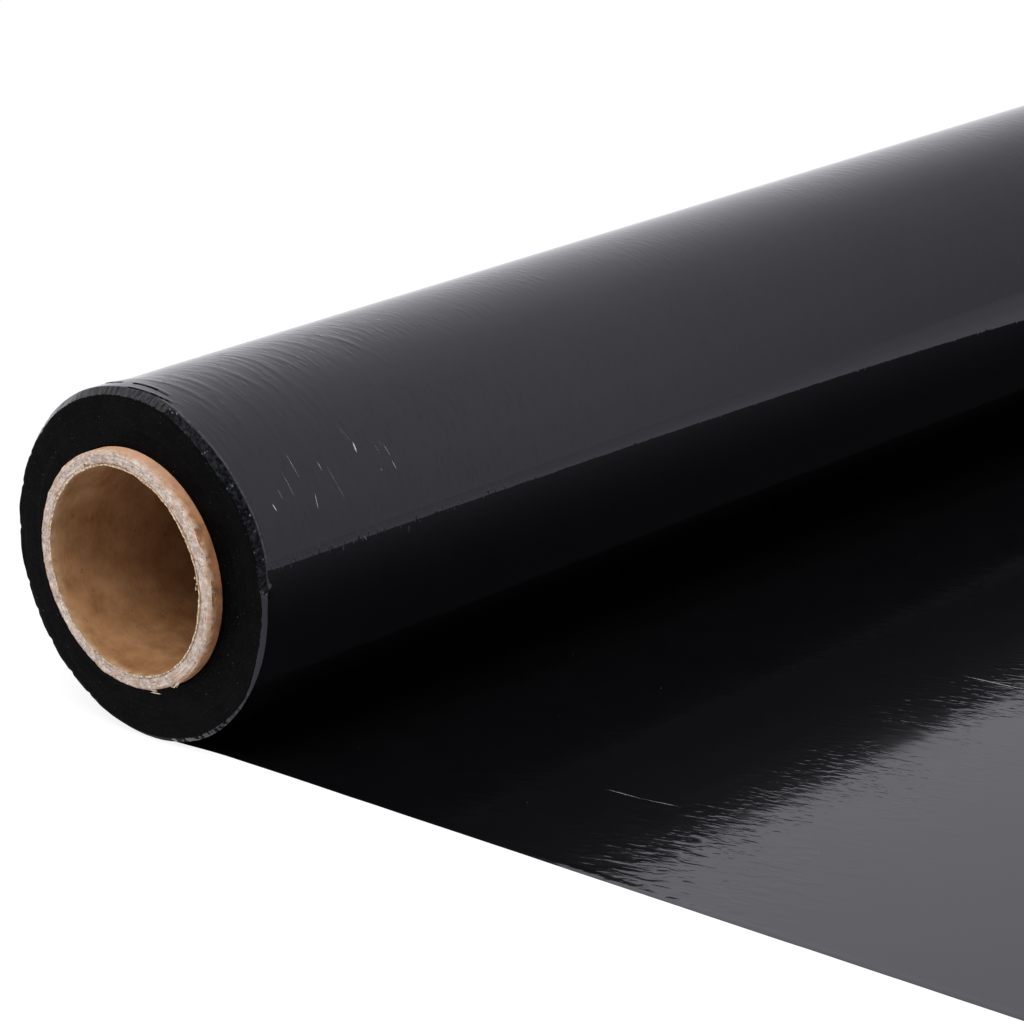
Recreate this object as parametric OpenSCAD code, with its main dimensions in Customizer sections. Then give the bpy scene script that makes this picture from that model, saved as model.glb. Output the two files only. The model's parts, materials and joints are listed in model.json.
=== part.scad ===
// Roll of stretch film on a spiral-wound paper core, lying on its side with film pulled out.
// The roll's axis is X, the origin is the middle of the bore, and the film leaves toward -Y.

/* [Wound film] */
// Width of the film, which is the length of the wound body
film_w = 450; // [250:1:600]
// Outer radius of the wound film
film_r = 43.2; // [38:0.1:60]
// Height of the slanted rim between an end face and the outside, measured toward the axis
rim_h = 1.7; // [0.8:0.1:3.5]
// Width of the slanted rim, measured along the axis
rim_w = 2.6; // [0.8:0.1:3.5]
// Radius at both edges of the slanted rim
rim_round = 0.5; // [0.2:0.05:0.6]
// Distance from one turn ridge to the next on an end face
ridge_pitch = 0.9; // [0.6:0.05:2]
// Depth of the deepest groove between two turn ridges
ridge_depth = 0.35; // [0.1:0.05:0.8]
// Depth by which the soft roll is flattened where it rests
flat_depth = 0.15; // [0.05:0.05:0.4]

/* [Pulled-out film] */
// Length pulled out, from below the axis to the free end
web_l = 560; // [120:5:800]
// Thickness of the pulled-out film, drawn heavier than the real 0.02
web_t = 0.3; // [0.2:0.05:0.6]
// Distance by which each edge of the pulled-out film draws in from the end face
neck_in = 4; // [1:0.1:12]
// Length over which the edges draw in
neck_l = 26; // [10:1:80]

/* [Core] */
// Radius of the bore
bore_r = 25.4; // [20:0.1:28]
// Thickness of the inner paper ply
liner_t = 0.4; // [0.2:0.05:0.8]
// Thickness of the grey board wall
board_t = 2.85; // [1.5:0.05:5]
// Thickness of the outer paper ply
wrap_t = 0.4; // [0.2:0.05:0.8]
// Length by which the core stands out of the film at each end
core_out = 4.1; // [1:0.1:12]
// Radius of the worn outer edge of the board, which the outer ply stops short of
wear_r = 0.8; // [0.3:0.05:1.4]

/* [Ply seams] */
// Length along the axis in which a ply winds round once
ply_pitch = 108; // [60:1:180]
// Width of the seam in the inner ply, measured along the axis
liner_seam = 0.35; // [0.2:0.05:1]
// Width of the gap in the outer ply, measured along the axis
wrap_seam = 3.8; // [0.5:0.1:6]
// Angle of the inner seam at the near end, from +Y toward +Z
liner_start = 64; // [0:1:359]
// Angle of the outer gap at the near end, from +Y toward +Z
wrap_start = 244; // [0:1:359]

/* [Hidden] */
$fn = 128;

liner_r = bore_r + liner_t;
board_r = liner_r + board_t;
core_r = board_r + wrap_t;
core_l = film_w + 2 * core_out;
end_x = film_w / 2;
floor_z = flat_depth - film_r;

// Straight stretches in which a rounded edge is drawn
round_steps = 4;
// Straight stretches in which the drawn-in edge of the pulled-out film is drawn
neck_steps = 10;
// Rings of a seam cutter in one turn of the helix
seam_steps = 24;
// Clearance by which a cutter passes through what it cuts
cut_over = 1;

// Angle between the slanted rim's outward direction and the axis
rim_angle = atan(rim_w / rim_h);
// Distances from the rim's edges to where their rounding begins on the end face and on the outside
round_on_face = rim_round * tan(rim_angle / 2);
round_on_side = rim_round * tan((90 - rim_angle) / 2);

// Turn ridges that fit between the core and the slanted rim
face_span = film_r - rim_h - round_on_face - core_r;
ridge_count = max(1, floor(face_span / ridge_pitch));
ridge_step = face_span / ridge_count;

// Uneven winding makes each groove a little different: a share of the depth, never zero
function groove_share(i) = 0.35 + 0.65 * abs(sin(i * 73));

// Points [radius, x] across one end face, from the core out to the rim
function face_points() = [
    for (i = [0:ridge_count - 1])
        let (r = core_r + i * ridge_step)
        each [
            [r, end_x - ridge_depth * groove_share(i)],
            [r + ridge_step / 2, end_x]
        ]
];

// Points [radius, x] round a rounded edge, by the outward direction's angle from the axis
function edge_points(middle, radius, from, to) = [
    for (i = [0:round_steps])
        let (a = from + (to - from) * i / round_steps)
        middle + radius * [sin(a), cos(a)]
];

// Points [radius, x] over the slanted rim, from the end face to the outside
function rim_points() = concat(
    edge_points([film_r - rim_h - round_on_face, end_x - rim_round], rim_round, 0, rim_angle),
    edge_points([film_r - rim_round, end_x - rim_w - round_on_side], rim_round, rim_angle, 90)
);

function half_profile() = concat(face_points(), rim_points());

// The same half outline at the other end, so that the whole runs round once
function mirrored(points) = [
    for (i = [len(points) - 1:-1:0])
        [points[i][0], -points[i][1]]
];

// Turns a shape made round Z so that it lies along X
module along_x() {
    rotate([0, 90, 0])
        children();
}

module tube_x(inner, outer, length) {
    along_x()
        difference() {
            cylinder(r = outer, h = length, center = true);
            cylinder(r = inner, h = length + 2 * cut_over, center = true);
        }
}

// A ribbon that follows a helix round X and cuts the seam of a ply through its whole wall
module seam_cutter(inner, outer, width, start) {
    reach = core_l / 2 + width + cut_over;
    rings = ceil(2 * reach / ply_pitch * seam_steps);
    section = [
        [-width / 2, inner - cut_over],
        [width / 2, inner - cut_over],
        [width / 2, outer + cut_over],
        [-width / 2, outer + cut_over]
    ];
    corners = len(section);
    points = [
        for (i = [0:rings])
            let (x = -reach + 2 * reach * i / rings)
            let (a = start + 360 * (x + core_l / 2) / ply_pitch)
            for (p = section)
                [x + p[0], p[1] * cos(a), p[1] * sin(a)]
    ];
    sides = [
        for (i = [0:rings - 1])
            for (j = [0:corners - 1])
                let (k = (j + 1) % corners)
                let (here = i * corners, next = (i + 1) * corners)
                each [
                    [here + j, next + k, here + k],
                    [here + j, next + j, next + k]
                ]
    ];
    first = [[0, 1, 2], [0, 2, 3]];
    last = [for (f = first) [for (v = [2:-1:0]) f[v] + rings * corners]];
    polyhedron(points = points, faces = concat(first, sides, last));
}

// The wound turns: one solid ring with ridged end faces and slanted rims
module wound_turns() {
    along_x()
        rotate_extrude()
            polygon(concat(half_profile(), mirrored(half_profile())));
}

// Half the pulled-out film's width at a share of the length over which it draws in
function web_half(share) = end_x - rim_w - (neck_in - rim_w) * share * share * (3 - 2 * share);

// Points [x, y] down one edge of the pulled-out film, from the roll to the free end
function web_edge() = concat(
    [
        for (i = [0:neck_steps])
            let (share = i / neck_steps)
            [web_half(share), -neck_l * share]
    ],
    [[web_half(1), -web_l]]
);

// The pulled-out film, which leaves the roll at its lowest line and lies flat
module web() {
    edge = web_edge();
    last = len(edge) - 1;
    other_edge = [for (i = [last:-1:0]) [-edge[i][0], edge[i][1]]];
    translate([0, 0, floor_z - cut_over])
        linear_extrude(height = cut_over + web_t)
            polygon(concat(edge, other_edge));
}

// Everything below the surface on which the roll and its film lie
module below_floor() {
    depth = flat_depth + 2 * cut_over;
    translate([-film_w, -web_l - cut_over, floor_z - depth])
        cube([2 * film_w, web_l + film_r + 2 * cut_over, depth]);
}

module stretch_film() {
    color("#232327")
        difference() {
            union() {
                wound_turns();
                web();
            }
            below_floor();
        }
}

module core_liner() {
    color("#b58a58")
        difference() {
            tube_x(bore_r, liner_r, core_l);
            seam_cutter(bore_r, liner_r, liner_seam, liner_start);
        }
}

// Points [radius, x] round one worn end of the board, from the liner to the outer ply
function board_points() = concat(
    [[liner_r, core_l / 2]],
    edge_points([board_r - wear_r, core_l / 2 - wear_r], wear_r, 0, 90)
);

module core_board() {
    color("#a59d92")
        along_x()
            rotate_extrude()
                polygon(concat(board_points(), mirrored(board_points())));
}

module core_wrap() {
    color("#a5713f")
        difference() {
            tube_x(board_r, core_r, core_l - 2 * wear_r);
            seam_cutter(board_r, core_r, wrap_seam, wrap_start);
        }
}

stretch_film();
core_liner();
core_board();
core_wrap();
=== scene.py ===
"""Looks of a roll of black stretch film on a spiral-wound core, in metres, in the model's frame.

The roll's axis is X. Angles round it are in degrees, from +Y toward +Z. Distances along the roll
are measured from the near end face, which is the one at -X.
"""

import json
import math

import bpy
import numpy as np
from mathutils import Matrix, Vector


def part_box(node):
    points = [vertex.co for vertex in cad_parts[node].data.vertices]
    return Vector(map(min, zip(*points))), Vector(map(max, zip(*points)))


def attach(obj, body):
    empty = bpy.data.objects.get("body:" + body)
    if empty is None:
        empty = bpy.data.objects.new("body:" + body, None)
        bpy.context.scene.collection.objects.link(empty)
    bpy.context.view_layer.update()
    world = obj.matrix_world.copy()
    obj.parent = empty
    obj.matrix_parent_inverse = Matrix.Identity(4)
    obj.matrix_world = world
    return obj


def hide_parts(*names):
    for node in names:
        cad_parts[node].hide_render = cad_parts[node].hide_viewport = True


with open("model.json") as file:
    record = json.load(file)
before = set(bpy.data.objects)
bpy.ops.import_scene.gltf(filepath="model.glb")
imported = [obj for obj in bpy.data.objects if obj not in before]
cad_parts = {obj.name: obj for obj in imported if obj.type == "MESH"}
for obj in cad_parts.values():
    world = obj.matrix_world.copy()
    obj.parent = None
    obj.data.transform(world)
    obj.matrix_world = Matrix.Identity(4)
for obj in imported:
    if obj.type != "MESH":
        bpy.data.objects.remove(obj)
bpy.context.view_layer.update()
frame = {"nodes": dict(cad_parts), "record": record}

MM = 0.001


# Sizes of the frame

def node_radius(name):
    """Largest distance of a CAD node's vertices from the roll's axis."""
    return max(math.hypot(v.co.y, v.co.z) for v in frame["nodes"][name].data.vertices)


FILM_LOW, FILM_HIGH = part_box("stretch_film")
FILM_HALF = FILM_HIGH[0]
FILM_R = FILM_HIGH[2]
FLOOR_Z = FILM_LOW[2]
WEB_LENGTH = -FILM_LOW[1]
CORE_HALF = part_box("core_board")[1][0]
WRAP_R = node_radius("core_wrap")
BOARD_R = node_radius("core_board")
LINER_R = node_radius("core_liner")
BORE_R = frame["record"]["mounts"][0]["dims"]["r_mm"] * MM

# The slanted rim between an end face and the outside of the wound film, and the radius at its edges
RIM_H = 1.7 * MM
RIM_W = 2.6 * MM
RIM_ROUND = 0.5 * MM
# Distance by which the pulled-out film draws in from each end face, and the length over which it does
NECK_IN = 4 * MM
NECK_L = 26 * MM
# Thickness at which the pulled-out film is drawn
WEB_T = 0.1 * MM
# The core's plies: length along the axis of one turn, and each seam's width and angle at the near end
PLY_PITCH = 108 * MM
LINER_SEAM, LINER_START = 0.35 * MM, 64
WRAP_SEAM, WRAP_START = 3.8 * MM, 244


# Smooth noise

def smooth_noise(u, v, seed, period=64):
    """Value noise from -1 to 1 on a lattice of unit cells. Along u it repeats after period cells."""
    table = np.random.default_rng(seed).uniform(-1, 1, (period, 509))
    u, v = np.broadcast_arrays(u, v)
    iu, iv = np.floor(u).astype(int), np.floor(v).astype(int)
    fu, fv = u - iu, v - iv
    fu, fv = fu * fu * (3 - 2 * fu), fv * fv * (3 - 2 * fv)

    def at(du, dv):
        return table[(iu + du) % period, (iv + dv) % 509]

    low = at(0, 0) * (1 - fu) + at(1, 0) * fu
    high = at(0, 1) * (1 - fu) + at(1, 1) * fu
    return low * (1 - fv) + high * fv


def ridges(u, v, seed, period=64):
    """Noise with narrow raised lines, from 0 to 1."""
    return (1 - np.abs(smooth_noise(u, v, seed, period))) ** 3


def bell(x, middle, width):
    """1 in the middle, and 0.37 at a width from it."""
    return np.exp(-((x - middle) / width) ** 2)


def fade(x, start, end):
    """0 before start and 1 after end, smooth between them; start may be the larger."""
    t = np.clip((x - start) / (end - start), 0, 1)
    return t * t * (3 - 2 * t)


def sector(angle, start, end, soft):
    """1 between two angles in degrees and 0 outside them, over a soft edge. The sector may pass 360."""
    middle, half = (start + end) / 2, (end - start) / 2
    away = np.abs((angle - middle + 180) % 360 - 180)
    return fade(away, half + soft, half)


# Mesh building

def make_object(name, vertices, faces, slots, material_of_face=None, smooth=True, crisp=False):
    """A mesh object from vertices in metres, with one material per slot.

    A crisp one keeps its cut edges sharp.
    """
    mesh = bpy.data.meshes.new(name)
    mesh.from_pydata(np.asarray(vertices).tolist(), [], faces)
    for material in slots:
        mesh.materials.append(material)
    if material_of_face is not None:
        mesh.polygons.foreach_set("material_index", np.asarray(material_of_face, dtype=np.int32))
    mesh.polygons.foreach_set("use_smooth", np.full(len(mesh.polygons), smooth))
    mesh.update()
    if crisp:
        mesh.set_sharp_from_angle(angle=math.radians(50))
    obj = bpy.data.objects.new(name, mesh)
    bpy.context.scene.collection.objects.link(obj)
    return obj


def stitch(first, n_first, second, n_second):
    """Faces between two closed rings whose counts are the same or differ by a factor of two."""
    if n_first == n_second:
        return [
            (first + j, second + j, second + (j + 1) % n_first, first + (j + 1) % n_first)
            for j in range(n_first)
        ]
    if n_first < n_second:
        return [face[::-1] for face in stitch(second, n_second, first, n_first)]
    faces = []
    for j in range(n_second):
        near, far = second + j, second + (j + 1) % n_second
        a, b, c = (first + (2 * j + k) % n_first for k in range(3))
        faces += [(a, near, b), (near, far, b), (b, far, c)]
    return faces


def loft(rings, closed=False):
    """Vertices and faces through a list of rings of points, with the ring that each face starts at."""
    starts = np.cumsum([0] + [len(r) for r in rings])
    faces, owner = [], []
    pairs = list(zip(range(len(rings)), range(1, len(rings))))
    if closed:
        pairs.append((len(rings) - 1, 0))
    for i, k in pairs:
        new = stitch(int(starts[i]), len(rings[i]), int(starts[k]), len(rings[k]))
        faces += new
        owner += [i] * len(new)
    return np.concatenate(rings), faces, owner


def grid_faces(rows, columns, offset=0, flip=False):
    """Faces between the points of a grid, counted row by row from an offset."""
    faces = []
    for i in range(rows - 1):
        for j in range(columns - 1):
            a = offset + i * columns + j
            quad = (a, a + 1, a + columns + 1, a + columns)
            faces.append(quad[::-1] if flip else quad)
    return faces


def around(radius, x, angle):
    """Points [x, y, z] at a radius and angle in degrees, with x in the frame."""
    a = np.radians(angle)
    return np.stack(np.broadcast_arrays(x, radius * np.cos(a), radius * np.sin(a)), axis=-1)


# Materials

# A thousandth of a millimetre, in which the depth of bumps is given
UM = 0.000001


class Nodes:
    """A short way to build the nodes of a material or a world.

    Each value that a method takes is another node's output or a constant.
    """

    def __init__(self, owner):
        owner.use_nodes = True
        self.owner = owner
        self.tree = owner.node_tree

    def put(self, value, target):
        if hasattr(value, "links"):
            self.tree.links.new(value, target)
        else:
            target.default_value = value

    def node(self, kind, inputs, output=0, **settings):
        """One output of a new node, whose inputs are given by name or number."""
        node = self.tree.nodes.new(kind)
        for key, value in settings.items():
            setattr(node, key, value)
        for key, value in inputs.items():
            self.put(value, node.inputs[key])
        return node.outputs[output]

    @property
    def place(self):
        """Object coordinates."""
        return self.node("ShaderNodeTexCoord", {}, "Object")

    def axis(self, name, vector=None):
        """X, Y or Z of a vector."""
        return self.node("ShaderNodeSeparateXYZ", {"Vector": vector or self.place}, name)

    def from_middle(self):
        """Distance along the roll from its middle."""
        return self.math("ABSOLUTE", self.axis("X"))

    def radius(self):
        """Distance from the roll's axis."""
        return self.node("ShaderNodeVectorMath", {0: self.stretched(0, 1)}, "Value", operation="LENGTH")

    def stretched(self, along, across):
        """Object coordinates in cells, with so many a metre along the roll and across it."""
        return self.node("ShaderNodeMapping", {"Vector": self.place, "Scale": (along, across, across)})

    def slanted(self, along, across, turn):
        """The same, on axes turned round Z."""
        size = (1 / along, 1 / across, 1 / across)
        inputs = {"Vector": self.place, "Rotation": (0, 0, turn), "Scale": size}
        return self.node("ShaderNodeMapping", inputs, vector_type="TEXTURE")

    def noise(self, scale, detail=2, rough=0.5, vector=None):
        inputs = {"Vector": vector or self.place, "Scale": scale, "Detail": detail, "Roughness": rough}
        return self.node("ShaderNodeTexNoise", inputs, "Fac")

    def streaks(self, along, across, detail=1, rough=0.5):
        """Noise with so many cells a metre along the roll and across it."""
        return self.noise(1, detail, rough, self.stretched(along, across))

    def lines(self, value, scale, detail):
        """Noise in one dimension along a value."""
        inputs = {"W": value, "Scale": scale, "Detail": detail}
        return self.node("ShaderNodeTexNoise", inputs, "Fac", noise_dimensions="1D")

    def cells(self, scale):
        """Distance from the middles of scattered cells."""
        return self.node("ShaderNodeTexVoronoi", {"Vector": self.place, "Scale": scale}, "Distance")

    def math(self, operation, a, b=0.0):
        return self.node("ShaderNodeMath", {0: a, 1: b}, operation=operation)

    def times(self, value, *others):
        for other in others:
            value = self.math("MULTIPLY", value, other)
        return value

    def spread(self, value, low, high, to_low=0.0, to_high=1.0, way="LINEAR"):
        """Maps low..high to to_low..to_high, held at both ends."""
        inputs = {"Value": value, "From Min": low, "From Max": high, "To Min": to_low, "To Max": to_high}
        return self.node("ShaderNodeMapRange", inputs, clamp=True, interpolation_type=way)

    def ramp(self, value, low, high, to_low=0.0, to_high=1.0):
        """The same, smooth where it starts and ends."""
        return self.spread(value, low, high, to_low, to_high, "SMOOTHSTEP")

    def blend(self, share, a, b):
        """Mixes two numbers."""
        return self.node("ShaderNodeMix", {"Factor": share, "A": a, "B": b}, "Result")

    def mix(self, share, a, b):
        """Mixes two colours, each an output or an (r, g, b)."""
        node = self.tree.nodes.new("ShaderNodeMix")
        node.data_type = "RGBA"
        self.put(share, node.inputs["Factor"])
        for value, key in ((a, "A"), (b, "B")):
            socket = [s for s in node.inputs if s.name == key and s.type == "RGBA"][0]
            self.put(value if hasattr(value, "links") else (*value, 1), socket)
        return [s for s in node.outputs if s.type == "RGBA"][0]

    def path(self, name):
        """A fact about the ray that meets the surface."""
        return self.node("ShaderNodeLightPath", {}, name)

    def bumps(self, *layers):
        """Bumps one on top of another, each a height from 0 to 1 and the depth that it stands for."""
        normal = None
        for height, depth in layers:
            inputs = {"Strength": 1, "Distance": depth, "Height": height}
            if normal is not None:
                inputs["Normal"] = normal
            normal = self.node("ShaderNodeBump", inputs)
        return normal

    def finish(self, **sockets):
        """The material, with values for its shader."""
        shader = self.tree.nodes["Principled BSDF"]
        for key, value in sockets.items():
            self.put(value, shader.inputs[key.replace("_", " ")])
        return self.owner


def new_material(name):
    return Nodes(bpy.data.materials.new(name))


def colour(r, g, b):
    """Linear colour from the 0 to 255 values that a screen shows."""
    return tuple(((c / 255) / 12.92 if c <= 10 else ((c / 255 + 0.055) / 1.055) ** 2.4) for c in (r, g, b))


# Tint and refraction that the film's reflections have
FILM_TINT = (0.905, 0.89, 1.0, 1)
FILM_IOR = 1.50
# Angle of the pulled-out film's dashes from the way it was pulled
STRETCH_ANGLE = math.radians(13)


def film_shader(n, normal, least_haze, most_haze):
    """Glossy black film. Its tint shows only in reflections."""
    haze = n.spread(n.noise(55, 3), 0.3, 0.7, least_haze, most_haze)
    tone = n.mix(n.noise(90), (0.0026, 0.0025, 0.0030), (0.0042, 0.0040, 0.0048))
    return n.finish(Base_Color=tone, Roughness=haze, IOR=FILM_IOR, Specular_Tint=FILM_TINT, Normal=normal)


def wound_film_material():
    """Film on the roll: a fine hatch round its top, folds by both ends, streaks, and nicks here and there."""
    n = new_material("wound_film")
    height = n.axis("Z")
    by_end = n.spread(n.from_middle(), FILM_HALF - 0.13, FILM_HALF - 0.03, 0.2, 1)
    top = n.spread(height, 0.014, 0.037)
    crown = n.spread(height, 0.023, 0.038)
    patches = n.spread(n.noise(38), 0.40, 0.60, 0.15, 1)
    contour = n.math("ABSOLUTE", n.math("SUBTRACT", n.streaks(430, 38, 0.6), 0.5))
    folds = n.times(n.spread(contour, 0, 0.09, 1, 0), by_end, top, patches)
    clusters = n.spread(n.streaks(34, 60), 0.38, 0.58, 0.05, 1)
    hatch = n.times(n.spread(n.streaks(860, 190, 2, 0.6), 0.40, 0.68), crown, clusters)
    scratched = n.spread(n.axis("X"), FILM_HALF * -0.72, FILM_HALF * -0.55, 1, 0.25)
    nicks = n.times(n.spread(n.streaks(1200, 190), 0.60, 0.76), scratched)
    normal = n.bumps(
        (folds, 20 * UM),
        (hatch, 34 * UM),
        (n.times(n.streaks(1500, 70, 2), top), 13 * UM),
        (nicks, 50 * UM),
        (n.streaks(95, 7), 30 * UM),
        (n.noise(260), 10 * UM),
    )
    return film_shader(n, normal, 0.018, 0.03)


def flat_film_material():
    """Pulled-out film: short dashes, a little askew to the pull, in patches and more by one edge."""
    n = new_material("flat_film")
    fine = n.spread(n.noise(1, 1, 0.5, n.slanted(880, 270, STRETCH_ANGLE)), 0.48, 0.70)
    broad = n.spread(n.noise(1, 0, 0.5, n.slanted(430, 150, STRETCH_ANGLE)), 0.52, 0.72)
    patches = n.spread(n.noise(46, 1), 0.36, 0.52, 0.1, 1)
    by_roll = n.spread(n.axis("Y"), -0.195, -0.165, 0.1, 1)
    by_edge = n.spread(n.axis("X"), 0.06 - FILM_HALF, 0.03 - FILM_HALF, 0.3, 1)
    normal = n.bumps(
        (n.times(fine, patches, by_roll), 11 * UM),
        (n.times(broad, by_edge, by_roll), 22 * UM),
        (n.streaks(70, 22), 3 * UM),
        (n.noise(240), 3 * UM),
    )
    return film_shader(n, normal, 0.035, 0.075)


def rim_material():
    """The slanted rim: the sides of the last turns pressed flat, with short ticks across them."""
    n = new_material("film_rim")
    arc = n.times(n.math("ARCTAN2", n.axis("Z"), n.axis("Y")), FILM_R)
    unrolled = n.node("ShaderNodeCombineXYZ", {"X": n.times(arc, 1150), "Y": n.times(n.axis("X"), 330)})
    ticks = n.noise(1, 2, 0.6, unrolled)
    grain = n.noise(2400)
    return n.finish(
        Base_Color=n.mix(ticks, (0.004, 0.0042, 0.0048), (0.009, 0.0095, 0.0105)),
        Roughness=n.spread(grain, 0.3, 0.7, 0.10, 0.22),
        Specular_IOR_Level=n.spread(ticks, 0.36, 0.60, 0.18, 0.62),
        Specular_Tint=(0.94, 0.95, 1.0, 1),
        Normal=n.bumps((ticks, 80 * UM), (grain, 20 * UM)),
    )


def crushed_material():
    """Crushed film edges on the rim: dark and crumpled, with small bluish painted highlights in its colour.
    """
    n = new_material("film_crushed")
    crumple = n.noise(1000, 2, 0.6)
    # Painted highlights: sparse bluish specks in the base colour, standing for light caught by tilted bits of
    # film.
    painted_glints = n.times(n.spread(n.cells(760), 0.14, 0.24, 1, 0), n.spread(n.noise(380), 0.47, 0.57))
    tone = n.mix(n.spread(crumple, 0.48, 0.62), (0.0016, 0.0016, 0.0022), (0.013, 0.015, 0.020))
    tone = n.mix(painted_glints, tone, (0.16, 0.18, 0.22))
    normal = n.bumps((crumple, 600 * UM))
    return n.finish(Base_Color=tone, Roughness=0.30, Specular_IOR_Level=0.14, Normal=normal)


def painted_highlight_material():
    """A pale strip of film along the rim's outer edge: a painted highlight where the bead by the crease shows
    bright.
    """
    n = new_material("film_painted_highlight")
    streaks = n.noise(1300)
    tone = n.mix(n.spread(streaks, 0.35, 0.65), (0.012, 0.012, 0.013), (0.05, 0.05, 0.053))
    normal = n.bumps((streaks, 30 * UM))
    return n.finish(Base_Color=tone, Roughness=0.12, IOR=FILM_IOR, Specular_Tint=FILM_TINT, Normal=normal)


def edge_material():
    """The wound film's end face: thousands of film edges, which swallow nearly all light."""
    n = new_material("film_edges")
    turns = n.lines(n.radius(), 2600, 3)
    grain = n.noise(1500, 3)
    tone = n.mix(n.spread(n.noise(170, 3), 0.35, 0.7), (0.0005, 0.0005, 0.0006), (0.0020, 0.0020, 0.0023))
    tone = n.mix(n.spread(turns, 0.55, 0.75, 0, 0.5), tone, (0.0055, 0.0055, 0.006))
    tone = n.mix(n.spread(n.cells(620), 0.05, 0.16, 0.55, 0), tone, (0.022, 0.024, 0.027))
    haze = n.spread(grain, 0.3, 0.7, 0.42, 0.62)
    normal = n.bumps((turns, 60 * UM), (grain, 50 * UM))
    return n.finish(Base_Color=tone, Roughness=haze, Specular_IOR_Level=0.03, Normal=normal)


def crease_material():
    """Pale grey-white slivers: on the roll's creases a painted highlight of the light they catch, on the
    pulled-out film the white of scratches.
    """
    n = new_material("film_crease")
    tone = n.mix(n.noise(900), colour(160, 160, 164), colour(232, 232, 234))
    return n.finish(Base_Color=tone, Roughness=0.35, Normal=n.bumps((n.noise(2200), 30 * UM)))


def dust_material():
    """Grey paper dust."""
    n = new_material("paper_dust")
    tone = n.mix(n.spread(n.noise(700), 0.4, 0.7), colour(52, 58, 62), colour(142, 146, 148))
    return n.finish(Base_Color=tone, Roughness=0.85, Normal=n.bumps((n.noise(5000), 20 * UM)))


def inner_kraft_material():
    """The inner ply: brown kraft with cloudy pulp, dark specks and a mouth that is rubbed pale."""
    n = new_material("kraft_liner")
    dark = colour(144, 100, 62)
    cloud = n.noise(130, 4, 0.6)
    fibre = n.streaks(1700, 420, 4, 0.65)
    tone = n.mix(n.spread(cloud, 0.3, 0.7), dark, colour(186, 142, 102))
    tone = n.mix(n.spread(fibre, 0.5, 0.74, 0, 0.35), tone, colour(196, 156, 114))
    tone = n.mix(n.spread(n.cells(380), 0.05, 0.12, 0.5, 0), tone, tuple(c * 0.3 for c in dark))
    rubbed = n.spread(n.from_middle(), CORE_HALF - 0.0026, CORE_HALF - 0.0002)
    rubbed = n.times(rubbed, n.spread(n.noise(420, 3), 0.36, 0.62, 0.15, 0.85))
    tone = n.mix(rubbed, tone, colour(214, 184, 150))
    haze = n.spread(cloud, 0.3, 0.7, 0.55, 0.75)
    normal = n.bumps((fibre, 50 * UM), (n.noise(2600), 30 * UM))
    return n.finish(Base_Color=tone, Roughness=haze, Specular_IOR_Level=0.35, Normal=normal)


def outer_kraft_material():
    """The outer ply: orange-brown kraft, mottled and rubbed pale by its ends, with painted light making its
    top paler and painted shade making the web's side darker.
    """
    n = new_material("kraft_wrap")
    cloud = n.noise(260, 4, 0.6)
    fibre = n.streaks(1700, 420, 4, 0.65)
    tone = n.mix(n.spread(cloud, 0.34, 0.64), colour(184, 130, 88), colour(222, 172, 130))
    tone = n.mix(n.spread(n.noise(480), 0.54, 0.66, 0, 0.65), tone, colour(206, 132, 84))
    # Painted light: the kraft turns paler toward the top of the core.
    tone = n.mix(n.spread(n.axis("Z"), 0.010, 0.026, 0, 0.65), tone, colour(240, 192, 162))
    tone = n.mix(n.spread(fibre, 0.5, 0.74, 0, 0.35), tone, colour(232, 196, 160))
    # Painted shade: a darker, browner kraft toward the web's side.
    darker = n.mix(n.spread(cloud, 0.34, 0.66), colour(110, 70, 42), colour(176, 116, 74))
    tone = n.mix(n.spread(n.axis("Y"), -0.004, -0.028, 0, 0.8), tone, darker)
    rubbed = n.spread(n.from_middle(), CORE_HALF - 0.0024, CORE_HALF - 0.0008)
    rubbed = n.times(rubbed, n.spread(n.noise(650, 3), 0.42, 0.58))
    tone = n.mix(rubbed, tone, colour(226, 200, 176))
    normal = n.bumps((fibre, 50 * UM), (n.noise(900, 3), 100 * UM))
    return n.finish(Base_Color=tone, Roughness=0.68, Specular_IOR_Level=0.35, Normal=normal)


def cut_paper_material(name, dark, light):
    """The cut edge of a paper ply."""
    n = new_material(name)
    fibre = n.noise(1500, 3)
    tone = n.mix(n.spread(fibre, 0.38, 0.62), dark, light)
    return n.finish(Base_Color=tone, Roughness=0.9, Specular_IOR_Level=0.2, Normal=n.bumps((fibre, 100 * UM)))


def board_material():
    """Cut grey chipboard: recycled pulp of pale, grey and brown fibres in glued layers."""
    n = new_material("grey_chipboard")
    coarse = n.noise(560, 5, 0.72)
    fine = n.noise(2600, 3, 0.7)
    radius = n.radius()
    layers = n.lines(radius, 1500, 1)
    tone = n.mix(n.spread(coarse, 0.36, 0.62), colour(180, 158, 146), colour(246, 230, 220))
    tone = n.mix(n.spread(layers, 0.35, 0.6, 0.3, 0), tone, colour(184, 158, 142))
    tone = n.mix(n.spread(fine, 0.56, 0.68, 0, 0.7), tone, colour(255, 252, 244))
    tone = n.mix(n.spread(n.noise(340, 3), 0.54, 0.66, 0, 0.4), tone, colour(222, 178, 152))
    worn = n.spread(radius, BOARD_R - 0.0007, BOARD_R + 0.0002, 0, 0.85)
    worn = n.times(worn, n.spread(n.noise(420, 3), 0.40, 0.58))
    tone = n.mix(worn, tone, colour(206, 160, 122))
    tone = n.mix(n.spread(n.cells(820), 0.06, 0.20, 0.8, 0), tone, colour(84, 66, 56))
    normal = n.bumps((coarse, 350 * UM), (layers, 200 * UM), (fine, 180 * UM))
    return n.finish(Base_Color=tone, Roughness=0.92, Specular_IOR_Level=0.2, Normal=normal)


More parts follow.
